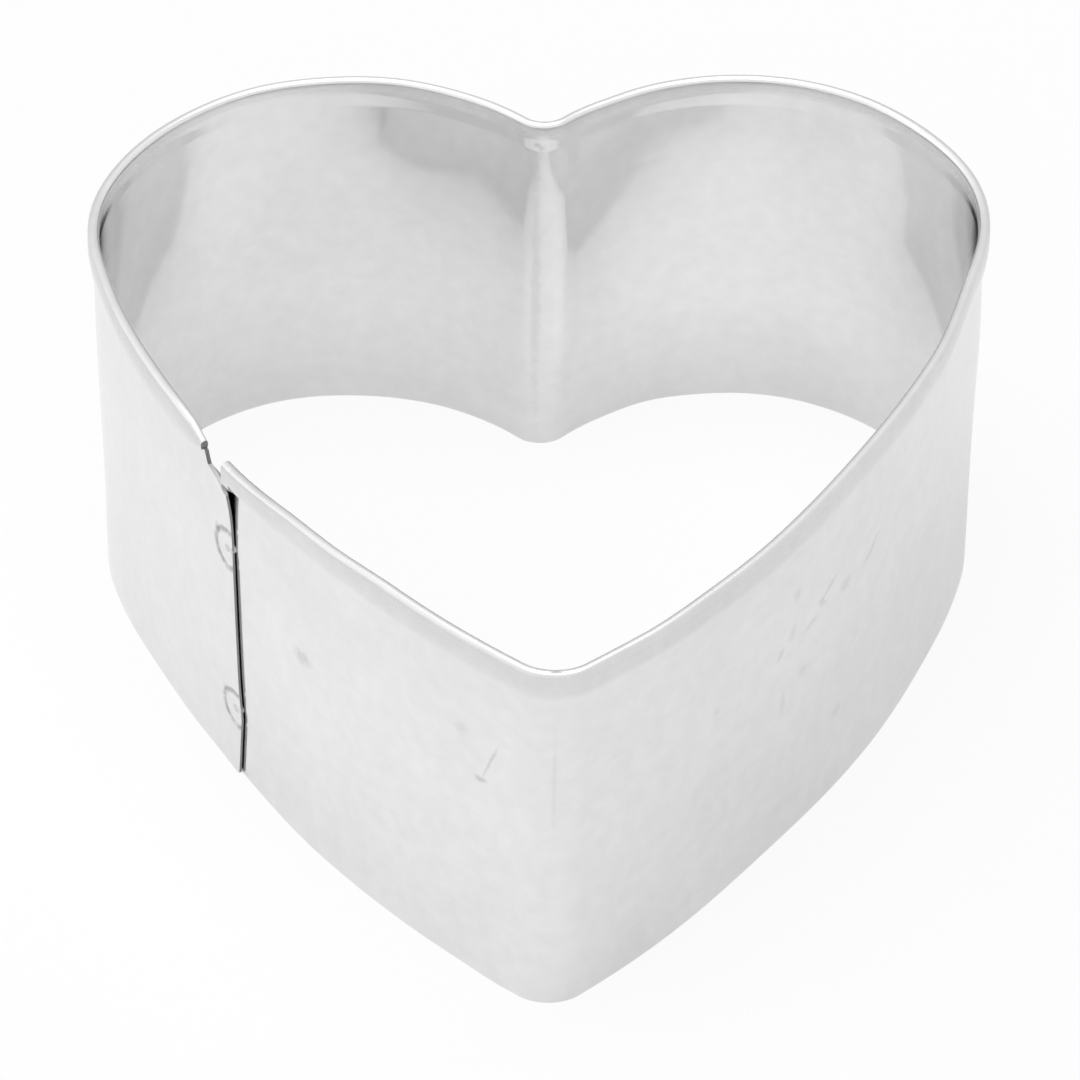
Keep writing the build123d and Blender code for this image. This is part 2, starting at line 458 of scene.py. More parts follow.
def turn_about(centre, axis, angle, reach=0.0):
    """Turns the selection about any line, with the object laid meanwhile so that the line is upright."""
    obj = bpy.context.object
    across = axis.orthogonal().normalized()
    line = Matrix((across, axis.cross(across), axis)).transposed().to_4x4()
    line.translation = centre
    obj.matrix_world = line.inverted()
    bpy.context.view_layer.update()
    bpy.ops.transform.rotate(value=angle, orient_axis="Z", center_override=(0, 0, 0), **fading(reach))
    obj.matrix_world = Matrix()
    bpy.context.view_layer.update()


def apply_modifier(obj, kind, **settings):
    """Adds a modifier to the object and applies it."""
    deselect()
    bpy.context.view_layer.objects.active = obj
    obj.select_set(True)
    modifier = obj.modifiers.new(kind.title(), kind)
    for key, value in settings.items():
        setattr(modifier, key, value)
    bpy.ops.object.modifier_apply(modifier=modifier.name)


class CUTTER_OT_strip(bpy.types.Operator):
    """Model the folded strip with its lapped ends"""

    bl_idname = "cutter.strip"
    bl_label = "Folded strip"

    def execute(self, context):
        s = context.scene.cutter_strip
        w = context.scene.cutter_weld
        heights = weld_heights()
        outline = Outline(s)
        reach = w.ring_radius + w.ring_width
        fine_until = s.outer_end + w.from_end - reach

        start = outline.left_angle(outline.inner_hem)
        outward = on_circle(Vector(), 1, start)
        places = [(0.0, up) for up in wall_rows(s, heights, outline.tab_height, reach)] + hem_path(s)
        moves = [(next_out - out) * outward + Vector((0, 0, next_up - up))
                 for (out, up), (next_out, next_up) in zip(places, places[1:])]
        strip = draw_line("tinplate_strip", on_circle(outline.left, s.side_radius, start), moves)
        self.paint_flap_shade(strip, outline)
        bpy.ops.mesh.select_all(action="SELECT")
        for arc in outline.arcs(fine_until):
            spin_to(*arc)
        self.add_tabs(outline)
        self.trim_outer_tab(outline)
        self.note_lap(strip, outline, w, heights)
        self.spring_corner(outline)
        bpy.ops.mesh.select_all(action="SELECT")
        bpy.ops.mesh.remove_doubles(threshold=TOUCH)
        bpy.ops.mesh.dissolve_degenerate(threshold=TOUCH)
        bpy.ops.mesh.normals_make_consistent(inside=False)
        self.crush_hem_ends(outline)
        self.bend_by_hand(outline)
        leave()
        finish = context.scene.cutter_finish
        strip.data.materials.append(tinplate(finish.tin, outline, strip))
        strip.data.materials.append(sheared_edge(finish.edge))
        waves = bpy.data.textures.new("sheet_waves", "CLOUDS")
        waves.noise_scale = s.wave_size
        waves.noise_depth = 1
        apply_modifier(strip, "DISPLACE", texture=waves, texture_coords="LOCAL", strength=s.wave_depth)
        apply_modifier(
            strip, "SOLIDIFY", thickness=s.sheet, offset=0.0, use_quality_normals=True,
            material_offset_rim=1, vertex_group="drawn", invert_vertex_group=True,
            thickness_vertex_group=s.drawn_share)
        press_welds(strip, outline, w)
        deselect()
        strip.select_set(True)
        context.view_layer.objects.active = strip
        bpy.ops.object.shade_smooth_by_angle(angle=STRIP_CREASE)
        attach(strip, "root")
        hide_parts("heart_strip")
        return {"FINISHED"}

    def paint_flap_shade(self, strip, outline):
        """Notes where painted shade darkens the section: the flap, and its foot less."""
        s = outline.s
        wall = on_layer(outline, s.side_radius, outline.inner_hem)
        foot_shade, shade_rise = 0.3, s.hem_height / 3
        leave()
        folded = []
        for vert in strip.data.vertices:
            at = local(wall, vert.co)
            off_wall = min(1.0, max(0.0, (at.z - s.sheet / 2) / (s.sheet / 2)))
            rise = (at.y - s.height + s.hem_height) / shade_rise
            folded.append(off_wall * min(1.0, foot_shade + rise))
        # The flap attribute is the mask of the painted shade on the flap
        strip.data.attributes.new("flap", "FLOAT", "POINT").data.foreach_set("value", folded)
        enter(strip)

    def add_tabs(self, outline):
        """Bare ends of both layers, spun on from the wall below the hem."""
        s = outline.s
        inner_edge = on_layer(outline, s.side_radius, outline.inner_hem)
        pick(lambda co: at_edge(inner_edge, co, s.sheet) and co.z < outline.tab_height + TOUCH)
        start, end = outline.left_angle(outline.inner_hem), outline.left_angle(outline.inner_end)
        spin_to(outline.left, s.side_radius, start, end, GRID)
        snip_end = outline.outer_hem - s.snip_run
        stages = (
            (outline.outer_hem, snip_end, outline.tab_height + s.snip_rise),
            (snip_end, s.outer_end - s.inner_setback, outline.tab_height + TOUCH),
        )
        for start, end, top in stages:
            edge = on_layer(outline, outline.lap_radius, start)
            pick(lambda co: at_edge(edge, co, s.sheet) and co.z < top)
            start, end = outline.left_angle(start), outline.left_angle(end)
            spin_to(outline.left, outline.lap_radius, start, end, GRID)

    def trim_outer_tab(self, outline):
        """Snips the outer tab down from the hem, then shears its end, its heel and its falling top."""
        s = outline.s
        place = on_lap(outline, 0.0)
        snip_end = s.snip_run - s.outer_setback

        # The falling cut starts this far above the snip's end, so that the two don't share a corner
        apart = s.sheet / 20

        def on_tab(co, first, last, top):
            at = local(place, co)
            return first - TOUCH < at.x < last and abs(at.z) < s.sheet / 2 and co.z < top + TOUCH

        pick(lambda co: on_tab(co, -s.outer_setback, snip_end + TOUCH, s.height))
        slope = Vector((s.snip_rise, s.snip_run, 0)).normalized()
        cut(place, Vector((snip_end, outline.tab_height, 0)), slope)
        pick(lambda co: on_tab(co, snip_end, s.lap_length, outline.tab_height))
        cut(place, Vector((0, outline.tab_height / 2, 0)), leaning(s.end_skew))
        pick(lambda co: on_tab(co, snip_end, s.lap_length, outline.tab_height))
        cut(place, Vector((end_line(outline, s.heel_height), s.heel_height, 0)), leaning(s.heel_skew))
        pick(lambda co: on_tab(co, snip_end - GRID, s.lap_length, outline.tab_height))
        fall = Vector((s.corner_clip, s.outer_setback - s.snip_run, 0)).normalized()
        cut(place, Vector((snip_end, outline.tab_height + apart, 0)), fall)

    def note_lap(self, strip, outline, w, heights):
        """Notes on the even strip how far each layer is from a weld, and where the shear drew it thin."""
        s = outline.s
        flatten = on_lap(outline, 0.0).inverted()
        gap = s.sheet + s.lap_clearance
        leave()
        drawn = strip.vertex_groups.new(name="drawn")
        away, layer = [], []
        for vert in strip.data.vertices:
            at = flatten @ vert.co
            on_outer, on_inner = abs(at.z) < s.sheet / 4, abs(at.z + gap) < s.sheet / 4
            layer.append(float(on_outer) - float(on_inner))
            away.append(min(math.hypot(at.x + w.from_end, at.y - height) for height in heights))
            share = 1 - abs(at.x - end_line(outline, at.y)) / s.roll_over
            if on_outer and share > 0:
                drawn.add([vert.index], share ** 2, "REPLACE")
        for name, values in (("away", away), ("layer", layer)):
            strip.data.attributes.new(name, "FLOAT", "POINT").data.foreach_set("value", values)
        enter(strip)

    def crush_hem_ends(self, outline):
        """Squashes the fold where the strip's ends were snipped and pressed together for welding."""
        s = outline.s
        crease = s.height - s.hem_height
        ends = (
            on_layer(outline, outline.lap_radius, outline.outer_hem),
            on_layer(outline, s.side_radius, outline.inner_hem),
        )
        for edge, (above, squash, reach, drop) in zip(ends, CRUSHED_ENDS):
            centre = edge @ Vector((0, crease + above * MM, 0))
            pick(lambda co: co.z > crease - TOUCH)
            bpy.ops.mesh.hide(unselected=True)
            pick(lambda co: abs(local(edge, co).x) < GRID / 4 and abs(local(edge, co).z) < 4 * s.sheet)
            bpy.ops.transform.resize(value=squash, center_override=centre, **fading(reach * MM, True))
            bpy.ops.mesh.reveal(select=False)
            if drop:
                droop_reach = 1.4 * (reach * MM)
                bpy.ops.transform.translate(value=(0, 0, -drop * MM), **fading(droop_reach, True))

        # The loose corner of the inner layer's flap, which comes last above, droops a little further
        foot = edge @ Vector((0, crease - drop * MM, s.sheet + s.flap_clearance))
        corner_reach = 1.3 * MM
        pick(lambda co: (co - foot).length < 0.6 * s.sheet)
        bpy.ops.transform.translate(value=(0, 0, -s.flap_droop), **fading(corner_reach, True))

    def bend_by_hand(self, outline):
        """Gives the outline the small strays of a strip bent round a former by hand."""
        s = outline.s
        for from_tip, height, out, reach in BENDS:
            point, outward = outline.at(from_tip * MM)
            point.z = height * MM
            push(point, out * MM * outward, reach * MM)
        notch = outline.at(math.inf)[0]
        pick(lambda co: math.hypot(co.x - notch.x, co.y - notch.y) < 2 * s.sheet)
        bpy.ops.transform.translate(value=(s.notch_stray, 0, 0), **fading(s.notch_reach))
        turn_about(notch, Vector((0, 1, 0)), -s.notch_lean, reach=s.notch_reach)

        # The cutting edge stays level, as if it were trued up on a flat plate
        pick(lambda co: co.z < s.sheet)
        bpy.ops.transform.resize(value=(1, 1, 0), center_override=(0, 0, 0))

    def spring_corner(self, outline):
        """Curls the outer layer's free top corner off the wall, in a few small folds."""
        s = outline.s
        place = on_lap(outline, 0.0)
        low = Vector((0, outline.tab_height - s.sprung_height, 0))
        high = Vector((-s.sprung_width, outline.tab_height, 0))
        along = (high - low).normalized()
        across = Vector((along.y, -along.x, 0))
        reach = (Vector((0, outline.tab_height, 0)) - low).dot(across)
        curled = 0.8 * reach
        starts = [low + across * distance for distance in spread(0, curled, FOLDS - 1)]

        def beyond(start, co):
            at = local(place, co)
            top = s.height if at.x < -s.inner_setback - GRID / 2 else outline.tab_height + s.sheet
            in_front = -s.sheet / 2 < at.z < s.sprung_width and low.y - s.sheet < at.y < top
            on_tab = -s.outer_setback < at.x < s.lap_length
            return in_front and on_tab and (at - start).dot(across) > -TOUCH / 2

        for start in starts:
            pick(lambda co: beyond(starts[0], co))
            cut(place, start, across, clear=False)
        for start in reversed(starts):
            pick(lambda co: beyond(start, co))
            turn_about(place @ start, place.to_3x3() @ along, s.sprung_angle / FOLDS)


def end_line(outline, height):
    """Place of the outer layer's sheared end, along the strip, at a height."""
    s = outline.s
    upper = math.tan(s.end_skew) * (max(height, s.heel_height) - outline.tab_height / 2)
    return upper - math.tan(s.heel_skew) * max(0.0, s.heel_height - height)


def leaning(skew):
    """Way that a cut clears towards, when the cut leans from upright by an angle."""
    return Vector((math.cos(skew), -math.sin(skew), 0))


def at_edge(place, co, sheet):
    """Whether a place lies on the upright line of a layer's frame."""
    at = local(place, co)
    return abs(at.x) < GRID / 4 and abs(at.z) < sheet / 2


def facing(point, outward):
    """Frame on the strip: X along it, to the right seen from outside, Y up, Z out of the heart."""
    along = Vector((-outward.y, outward.x, 0))
    place = Matrix((along, Vector((0, 0, 1)), outward)).transposed().to_4x4()
    place.translation = point
    return place


def on_layer(outline, radius, from_tip):
    """Frame on a layer of the left side, where X runs to the tip."""
    angle = outline.left_angle(from_tip)
    return facing(on_circle(outline.left, radius, angle), on_circle(Vector(), 1, angle))


def on_lap(outline, from_end):
    """Frame on the outer layer, at a distance back from its end."""
    return on_layer(outline, outline.lap_radius, outline.s.outer_end + from_end)


def local(place, co):
    """A point as seen in a frame."""
    return place.inverted() @ co


def cut(place, point, normal, clear=True):
    """Cuts the selected faces along a plane given in a frame, and clears what lies beyond it."""
    bpy.ops.mesh.bisect(
        plane_co=place @ point, plane_no=place.to_3x3() @ normal, clear_outer=clear, threshold=TOUCH / 10)


def weld_heights():
    """Heights of the weld nodes' middles."""
    heights = []
    for node in ("lower_spot_weld", "upper_spot_weld"):
        low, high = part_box(node)
        heights.append((low.z + high.z) / 2)
    return heights


def lap_faces(strip, outline):
    """Vertices on both faces of the lap, with their distance from the nearest weld's middle."""
    out = on_lap(outline, 0.0).to_3x3().col[2]
    away, layer = (strip.data.attributes[name].data for name in ("away", "layer"))
    for vert in strip.data.vertices:
        if vert.normal.dot(out) * layer[vert.index].value > 0.5:
            yield vert, away[vert.index].value


def press_welds(strip, outline, w):
    """Presses the electrode's ring and the nugget's seat into both faces of the lap."""
    pressed = strip.vertex_groups.new(name="pressed")
    burnt = [0.0] * len(strip.data.vertices)
    deepest = w.dimple + w.ring_depth
    for vert, away in lap_faces(strip, outline):
        across = (away - w.ring_radius) / (w.ring_width / 2)
        scorched = 0.8 * across
        burnt[vert.index] = max(0.0, 1 - scorched ** 2)
        depth = dish_depth(w, away) + max(0.0, 1 - across ** 2) * w.ring_depth
        if depth:
            pressed.add([vert.index], depth / deepest, "REPLACE")
    strip.data.attributes.new("scorch", "FLOAT", "POINT").data.foreach_set("value", burnt)
    apply_modifier(strip, "DISPLACE", strength=-deepest, mid_level=0.0, vertex_group="pressed")


def dish_depth(w, away):
    """Depth of the shallow dish that the electrode leaves, at a distance from the weld's middle."""
    share = away / w.ring_radius
    return w.dimple * (1 - share ** 2) ** 2 if share < 1 else 0.0


# Materials

def shader(name):
    """An empty node material with its output and its metal shader."""
    material = bpy.data.materials.new(name)
    material.use_nodes = True
    tree = material.node_tree
    tree.nodes.clear()
    metal = tree.nodes.new("ShaderNodeBsdfPrincipled")
    add_node(tree, "OutputMaterial", None, {"Surface": metal.outputs["BSDF"]})
    return material, tree, metal


def add_node(tree, kind, settings=None, links=None):
    """Adds a shader node: settings fill its inputs or its properties, and links feed its inputs."""
    node = tree.nodes.new("ShaderNode" + kind)
    for key, value in (settings or {}).items():
        if isinstance(key, int) or key in node.inputs:
            node.inputs[key].default_value = value
        else:
            setattr(node, key, value)
    for key, socket in (links or {}).items():
        tree.links.new(socket, node.inputs[key])
    return node.outputs[0] if len(node.outputs) == 1 else node


def tint(tree, metal, base, tone):
    """Makes the shader a bare metal of one colour, which a tone lightens or darkens."""
    tinted = add_node(tree, "VectorMath", {"operation": "SCALE", 0: base}, {"Scale": tone})
    tree.links.new(tinted.outputs[0], metal.inputs["Base Color"])
    metal.inputs["Metallic"].default_value = 1.0


# Handling marks on the outside: place along the strip from the tip (left is negative), height, half
# length, half width, lean from level, and how much light each takes
MARKS = (
    (-19.75, 14.7, 1.15, 0.8, 0.0, 0.15),
    (-6.2, 18.2, 0.8, 0.55, 20.0, 0.07),
    (-4.0, 16.9, 1.9, 0.16, 68.0, 0.16),
    (-4.75, 15.15, 0.65, 0.3, 10.0, 0.2),
    (23.4, 17.3, 1.4, 0.32, 28.0, 0.1),
    (22.7, 16.7, 0.9, 0.35, -35.0, 0.09),
    (28.9, 16.9, 1.2, 0.3, 40.0, 0.09),
    (28.2, 16.3, 1.0, 0.28, 22.0, 0.08),
    (18.4, 15.7, 0.8, 0.32, 55.0, 0.09),
    (25.4, 16.2, 0.9, 0.7, 0.0, 0.08),
    (19.7, 19.4, 0.6, 0.6, 0.0, 0.07),
    (19.5, 16.6, 0.5, 1.0, 0.0, 0.06),
    (20.9, 12.8, 0.7, 0.6, 0.0, 0.07),
    (18.9, 11.6, 0.4, 1.3, 0.0, 0.07),
    (12.4, 15.4, 0.35, 0.45, 0.0, 0.07),
    (25.4, 6.4, 0.6, 0.5, 0.0, 0.06),
    (-28.2, 19.0, 0.25, 0.55, 0.0, 0.16),
    (-28.15, 6.4, 0.25, 0.6, 0.0, 0.12),
    (21.6, 15.9, 1.1, 0.3, 12.0, 0.08),
    (0.1, 25.3, 0.5, 0.35, 0.0, 0.4),
    (0.1, 17.0, 0.2, 5.0, 0.0, 0.05),
    (88.15, 25.3, 0.4, 0.3, 0.0, 0.3),
)

# Marks of the same kind on the inner face, where the bender's jaw crushed the notch
INNER_MARKS = (
    (-88.6, 12.0, 0.5, 14.0, 0.0, 0.08),
    (88.5, 23.8, 0.8, 0.35, 0.0, 0.14),
    (87.7, 23.9, 0.9, 1.1, 0.0, 0.11),
    (88.7, 23.9, 0.9, 1.1, 0.0, 0.1),
    (-87.7, 23.9, 0.9, 1.1, 0.0, 0.11),
)


def tinplate(tin, outline, strip):
    """Bright rolled tin plate: pale, mirror-like but hazed, with cloudy patches, handling marks and
    painted shade on the folded flap.
    """
    material, tree, metal = shader("bright_tinplate")
    place = add_node(tree, "TexCoord").outputs["Object"]
    tone = None

    # Cloudy patches about 8 mm across and mottle about 1 mm across: the coating set unevenly as it cooled
    for size, strength in ((8.0, 0.1), (1.1, 0.1)):
        cloud = add_node(tree, "TexNoise", {"Scale": 1 / (size * MM), "Detail": 2.0}, {"Vector": place})
        links = {0: cloud.outputs["Fac"]}
        if tone:
            links[2] = tone
        tone = add_node(tree, "Math", {"operation": "MULTIPLY_ADD", 1: strength, 2: 1 - strength}, links)

    # Faint streaks along the strip, 0.5 mm apart, from the rolling mill
    flat = add_node(tree, "Mapping", {"Scale": (40.0, 40.0, 2000.0)}, {"Vector": place})
    streak = add_node(tree, "TexNoise", {"Scale": 1.0, "Detail": 1.0}, {"Vector": flat})
    tone = add_node(
        tree, "Math", {"operation": "MULTIPLY_ADD", 1: -0.02}, {0: streak.outputs["Fac"], 2: tone})

    # Spots and scuffs, torn at their borders in tatters about 0.5 mm across
    ragged = add_node(tree, "TexNoise", {"Scale": 1 / (0.5 * MM), "Detail": 3.0}, {"Vector": place})
    ragged = ragged.outputs["Fac"]
    worn = add_marks(tree, place, ragged, outline, strip)
    tone = add_node(tree, "Math", {"operation": "SUBTRACT"}, {0: tone, 1: worn})

    # Painted shade darkens the folded flap a little, standing in for the darker surroundings that its
    # outward-leaning face mirrors
    flap = add_node(tree, "Attribute", {"attribute_name": "flap"}).outputs["Fac"]
    tone = add_node(tree, "Math", {"operation": "MULTIPLY_ADD", 1: -0.1}, {0: flap, 2: tone})

    # Heat of the electrode greys the tin in its ring
    scorch = add_node(tree, "Attribute", {"attribute_name": "scorch"}).outputs["Fac"]
    uneven = add_node(tree, "MapRange", {
        "From Min": 0.35, "From Max": 0.6, "To Min": 0.35, "To Max": 1.2}, {"Value": ragged})
    scorch = add_node(tree, "Math", {"operation": "MULTIPLY"}, {0: scorch, 1: uneven.outputs[0]})
    tone = add_node(tree, "Math", {"operation": "MULTIPLY_ADD", 1: -0.42}, {0: scorch, 2: tone})
    tint(tree, metal, tin, tone)

    # Haze of a rolled surface, frosted where the fold stretched it, rougher where it is scuffed or burnt
    s = outline.s
    up = add_node(tree, "SeparateXYZ", None, {0: place}).outputs["Z"]
    frost = add_node(tree, "MapRange", {
        "interpolation_type": "SMOOTHSTEP",
        "From Min": s.height - s.nose_height, "From Max": s.height - s.nose_height / 2,
        "To Min": 0.12, "To Max": 0.3}, {"Value": up}).outputs[0]
    haze = add_node(tree, "Math", {"operation": "MULTIPLY_ADD", 1: 1.2}, {0: worn, 2: frost})
    haze = add_node(tree, "Math", {"operation": "MULTIPLY_ADD", 1: 0.2}, {0: scorch, 2: haze})
    tree.links.new(haze, metal.inputs["Roughness"])

    # Small hollows about 2 mm across and a few thousandths of one deep, which break up the mirror
    dents = add_node(tree, "TexNoise", {"Scale": 1 / (2.0 * MM), "Detail": 1.0}, {"Vector": place})
    bump = add_node(
        tree, "Bump", {"Strength": 1.0, "Distance": 0.004 * MM}, {"Height": dents.outputs["Fac"]})
    tree.links.new(bump, metal.inputs["Normal"])
    return material


def add_marks(tree, place, ragged, outline, strip):
    """How worn the tin is: the marks of both faces, each an oval that its noise tears at the border."""
    worn = None
    skin = 0.2 * MM
    marks = [(mark, 1) for mark in MARKS] + [(mark, -1) for mark in INNER_MARKS]
    for (from_tip, height, half_length, half_width, lean, depth), side in marks:
        at = on_face(outline, strip, from_tip * MM, height * MM, math.radians(lean), side)
        oval = add_node(tree, "Mapping", {
            "vector_type": "TEXTURE",
            "Location": at.translation,
            "Rotation": at.to_euler(),
            "Scale": (half_length * MM, half_width * MM, skin),
        }, {"Vector": place})
        away = add_node(tree, "VectorMath", {"operation": "LENGTH"}, {0: oval}).outputs["Value"]
        torn = add_node(tree, "Math", {"operation": "MULTIPLY_ADD", 1: 1.1}, {0: ragged, 2: away})
        mark = add_node(tree, "MapRange", {
            "interpolation_type": "SMOOTHSTEP",
            "From Min": 0.75, "From Max": 1.6, "To Min": depth, "To Max": 0.0}, {"Value": torn})
        links = {0: mark.outputs[0]}
        if worn:
            links[1] = worn
        worn = add_node(tree, "Math", {"operation": "ADD", 1: 0.0}, links)
    return worn


def sheared_edge(steel):
    """Cut edge of the strip: bare grey steel, drawn out in fine tears by the shear."""
    material, tree, metal = shader("sheared_steel_edge")
    place = add_node(tree, "TexCoord").outputs["Object"]
    stretched = add_node(tree, "Mapping", {"Scale": (6.0, 6.0, 1.0)}, {"Vector": place})
    tears = add_node(tree, "TexNoise", {"Scale": 1 / (0.6 * MM), "Detail": 2.0}, {"Vector": stretched})
    tone = add_node(
        tree, "Math", {"operation": "MULTIPLY_ADD", 1: 0.5, 2: 0.75}, {0: tears.outputs["Fac"]})
    tint(tree, metal, steel, tone)
    metal.inputs["Roughness"].default_value = 0.42
    return material


def weld_metal(weld):
    """Tinned steel melted by a spot weld: duller and rougher than the plate, and pitted."""
    material, tree, metal = shader("spot_weld_steel")
    place = add_node(tree, "TexCoord").outputs["Object"]
    pits = add_node(tree, "TexNoise", {"Scale": 1 / (0.3 * MM), "Detail": 2.0}, {"Vector": place})
    tone = add_node(
        tree, "Math", {"operation": "MULTIPLY_ADD", 1: 0.2, 2: 0.88}, {0: pits.outputs["Fac"]})
    tint(tree, metal, weld, tone)
    metal.inputs["Roughness"].default_value = 0.3
    bump = add_node(
        tree, "Bump", {"Strength": 1.0, "Distance": 0.006 * MM}, {"Height": pits.outputs["Fac"]})
    tree.links.new(bump, metal.inputs["Normal"])
    return material


def on_face(outline, strip, from_tip, height, lean, side):
    """Frame on a face of the bent strip, 1 outer and -1 inner, with its X leaning up by an angle."""
    s = outline.s
    point, outward = outline.at(from_tip)
    point += s.sheet / 2 * outward
    if from_tip < -s.outer_end:
        point += (s.sheet + s.lap_clearance) * outward
    point.z = height
    nearest = min((vert.co for vert in strip.data.vertices), key=lambda co: (co - point).length)
    point += ((nearest - point).dot(outward) + side * s.sheet / 2) * outward
    return facing(point, outward) @ Matrix.Rotation(lean, 4, "Z")


class CUTTER_OT_welds(bpy.types.Operator):
    """Model the spot welds that hold the lap"""

    bl_idname = "cutter.welds"
    bl_label = "Spot welds"

    def execute(self, context):
        s = context.scene.cutter_strip
        w = context.scene.cutter_weld
        outline = Outline(s)
        metal = weld_metal(context.scene.cutter_finish.weld)
        for node, height in zip(("lower_spot_weld", "upper_spot_weld"), weld_heights()):
            self.add_weld(outline, w, node, height, metal)
        return {"FINISHED"}

    def add_weld(self, outline, w, node, height, metal):
        """A dished disc through both layers, its half section spun round the weld's axis."""
        s = outline.s
        outward = on_lap(outline, 0.0).to_3x3().col[2]
        dished = [vert for vert, away in lap_faces(bpy.data.objects["tinplate_strip"], outline)
                  if away < w.nugget_radius and vert.normal.dot(outward) > 0
                  and abs(vert.co.z - height) < w.ring_radius]
        middle = sum((vert.co for vert in dished), Vector()) / len(dished)
        axis = sum((vert.normal for vert in dished), Vector()).normalized()
        seat = Matrix.Translation(middle) @ axis.to_track_quat("Z", "Y").to_matrix().to_4x4()

        # The melted face follows the dish, and swells in its middle by a small share of the dish's depth
        face = 0.9 * w.dimple
        back = face - 2 * s.sheet - s.lap_clearance
        side = []
        for share in spread(0, 1, 8):
            swell = (0.75 - share ** 2) * w.dimple / 4
            side.append((w.nugget_radius * share, face - dish_depth(w, w.nugget_radius * share) + swell))
        far = [(out, back + face - up) for out, up in reversed(side)]
        points = [seat @ Vector((out, 0, up)) for out, up in side + far]
        moves = [there - here for here, there in zip(points, points[1:])]
        weld = draw_line(node.replace("spot_weld", "nugget"), points[0], moves)
        bpy.ops.mesh.select_all(action="SELECT")
        bpy.ops.mesh.spin(steps=48, angle=math.tau, center=points[0], axis=axis)
        bpy.ops.mesh.select_all(action="SELECT")
        bpy.ops.mesh.remove_doubles(threshold=TOUCH)
        bpy.ops.mesh.normals_make_consistent(inside=False)
        leave()
        bpy.ops.object.shade_smooth_by_angle(angle=WELD_CREASE)
        weld.data.materials.append(metal)
        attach(weld, "root")
        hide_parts(node)


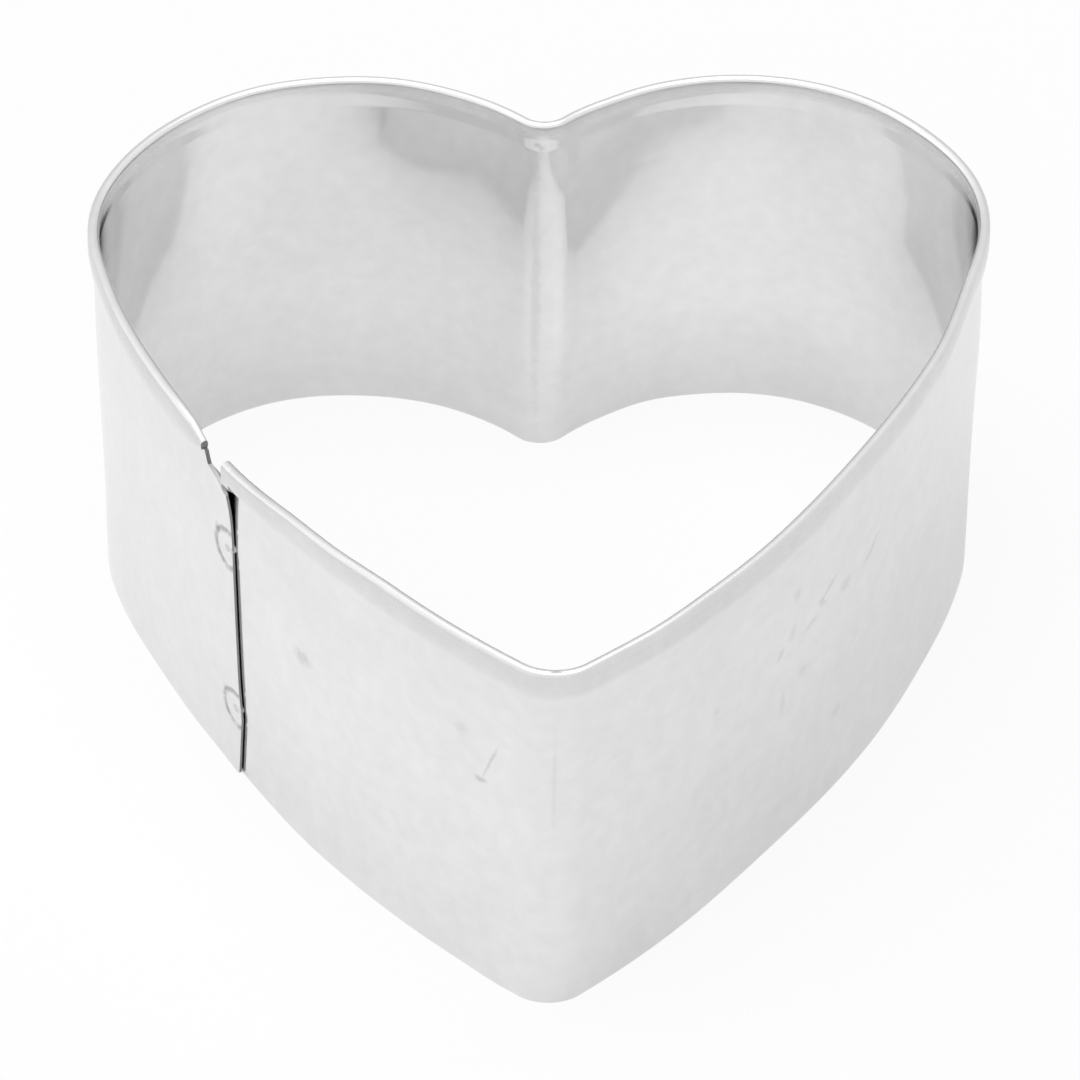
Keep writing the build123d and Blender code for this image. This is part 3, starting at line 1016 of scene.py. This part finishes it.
class CUTTER_OT_stage(bpy.types.Operator):
    """Set the floor, the lamps and the camera"""

    bl_idname = "cutter.stage"
    bl_label = "Stage"

    def execute(self, context):
        stage = context.scene.cutter_stage
        finish = context.scene.cutter_finish
        self.add_floor(finish, stage)
        self.add_world()
        self.add_lamps(stage)
        self.add_camera(context, stage)
        context.scene.view_settings.view_transform = "Standard"
        return {"FINISHED"}

    def add_floor(self, finish, stage):
        """Plain pale floor, on which the cutter's shadow still shows."""
        deselect()
        bpy.ops.mesh.primitive_plane_add(size=stage.floor_side)
        floor = bpy.context.object
        floor.name = "floor"
        material = bpy.data.materials.new("matt_floor")
        material.use_nodes = True
        tree = material.node_tree
        tree.nodes.clear()
        path = add_node(tree, "LightPath")
        matt = add_node(tree, "BsdfDiffuse", {"Color": (*finish.floor, 1)})
        white = add_node(tree, "Emission", {"Color": WHITE, "Strength": 1.0})

        # Seen straight on, the floor is bleached like the photograph's. The metal sees more of its shade
        mirrored = add_node(
            tree, "Math", {"operation": "MULTIPLY", 1: 0.3}, {0: path.outputs["Is Glossy Ray"]})
        links = {0: path.outputs["Is Camera Ray"], 2: mirrored}
        bleach = add_node(tree, "Math", {"operation": "MULTIPLY_ADD", 1: 0.88}, links)
        both = add_node(tree, "MixShader", None, {"Fac": bleach, 1: matt, 2: white})
        add_node(tree, "OutputMaterial", None, {"Surface": both})
        floor.data.materials.append(material)

    def add_world(self):
        """White surroundings, as in a light tent that is brighter on the left and dimmer at the back."""
        world = bpy.data.worlds.new("white_tent")
        bpy.context.scene.world = world
        world.use_nodes = True
        tree = world.node_tree
        tree.nodes.clear()
        path = add_node(tree, "LightPath")
        toward = add_node(tree, "TexCoord").outputs["Generated"]
        toward = add_node(tree, "SeparateXYZ", None, {0: toward})
        right, back = toward.outputs["X"], toward.outputs["Y"]

        # Light that it sheds on matt things, most of it from the left and a little more from the front
        shed = add_node(tree, "Math", {"operation": "MULTIPLY_ADD", 1: -0.6, 2: 0.58}, {0: right})
        shed = add_node(tree, "Math", {"operation": "MULTIPLY_ADD", 1: -0.15}, {0: back, 2: shed})

        # What the metal mirrors of it, an almost even white that dims towards the back
        behind = add_node(tree, "MapRange", {
            "interpolation_type": "SMOOTHSTEP",
            "From Min": 0.6, "From Max": 0.95, "To Min": 1.0, "To Max": 0.72}, {"Value": back})
        mirrored = add_node(
            tree, "Math", {"operation": "MULTIPLY_ADD", 1: -0.08}, {0: right, 2: behind.outputs[0]})
        lit = add_node(tree, "Background", {"Color": WHITE}, {"Strength": shed})
        shiny = add_node(tree, "Background", {"Color": WHITE}, {"Strength": mirrored})
        plain = add_node(tree, "Background", {"Color": WHITE, "Strength": 1.0})
        for ray, seen in (("Is Glossy Ray", shiny), ("Is Camera Ray", plain)):
            lit = add_node(tree, "MixShader", None, {"Fac": path.outputs[ray], 1: lit, 2: seen})
        add_node(tree, "OutputWorld", None, {"Surface": lit})

    def add_lamps(self, stage):
        """Two wide soft lamps: the key high above, and a weak one low on the left for the rim's glint."""
        places = (
            ("key", Vector((0.0, 0.0, 0.9)), 3.8),
            ("glint", Vector((-0.75, 0.15, 0.45)), 0.3),
        )
        for name, place, power in places:
            lamp = bpy.data.lights.new(name, "AREA")
            lamp.shape = "SQUARE"
            lamp.size = stage.panel
            lamp.energy = power
            obj = bpy.data.objects.new(name, lamp)
            bpy.context.scene.collection.objects.link(obj)
            obj.location = place
            obj.rotation_euler = (-place).to_track_quat("-Z", "Y").to_euler()

    def add_camera(self, context, stage):
        """Camera at the photograph's angle."""
        data = bpy.data.cameras.new("camera")
        data.lens = stage.focal
        data.sensor_width = 36.0
        data.clip_start, data.clip_end = 0.01, 20.0
        camera = bpy.data.objects.new("camera", data)
        context.scene.collection.objects.link(camera)
        place = Vector(stage.camera_from)
        look = Vector(stage.camera_at) - place
        turn = look.to_track_quat("-Z", "Y").to_matrix().to_4x4()
        roll = Matrix.Rotation(stage.camera_roll, 4, "Z")
        camera.matrix_world = Matrix.Translation(place) @ turn @ roll
        context.scene.camera = camera


class CUTTER_PT_panel(bpy.types.Panel):
    """Lists the cutter's pieces and sizes"""

    bl_idname = "CUTTER_PT_panel"
    bl_label = "Heart cutter"
    bl_space_type = "VIEW_3D"
    bl_region_type = "UI"
    bl_category = "Heart cutter"

    def draw(self, context):
        for operator in (CUTTER_OT_strip, CUTTER_OT_welds, CUTTER_OT_stage):
            self.layout.operator(operator.bl_idname)
        for group in GROUPS:
            sizes = getattr(context.scene, group)
            for key in sizes.bl_rna.properties.keys():
                if key not in ("rna_type", "name"):
                    self.layout.prop(sizes, key)


GROUPS = {
    "cutter_strip": StripSizes,
    "cutter_weld": WeldSizes,
    "cutter_finish": Finish,
    "cutter_stage": StageSizes,
}
CLASSES = (*GROUPS.values(), CUTTER_OT_strip, CUTTER_OT_welds, CUTTER_OT_stage, CUTTER_PT_panel)


def register():
    """Registers the classes and the scene's groups of sizes."""
    for each in CLASSES:
        bpy.utils.register_class(each)
    for name, group in GROUPS.items():
        setattr(bpy.types.Scene, name, PointerProperty(type=group))


def unregister():
    """Takes the groups and classes away again."""
    for name in GROUPS:
        delattr(bpy.types.Scene, name)
    for each in reversed(CLASSES):
        bpy.utils.unregister_class(each)


def main():
    """Builds the dressed cutter."""
    register()
    bpy.ops.cutter.strip()
    bpy.ops.cutter.welds()
    bpy.ops.cutter.stage()


if __name__ == "__main__":
    main()
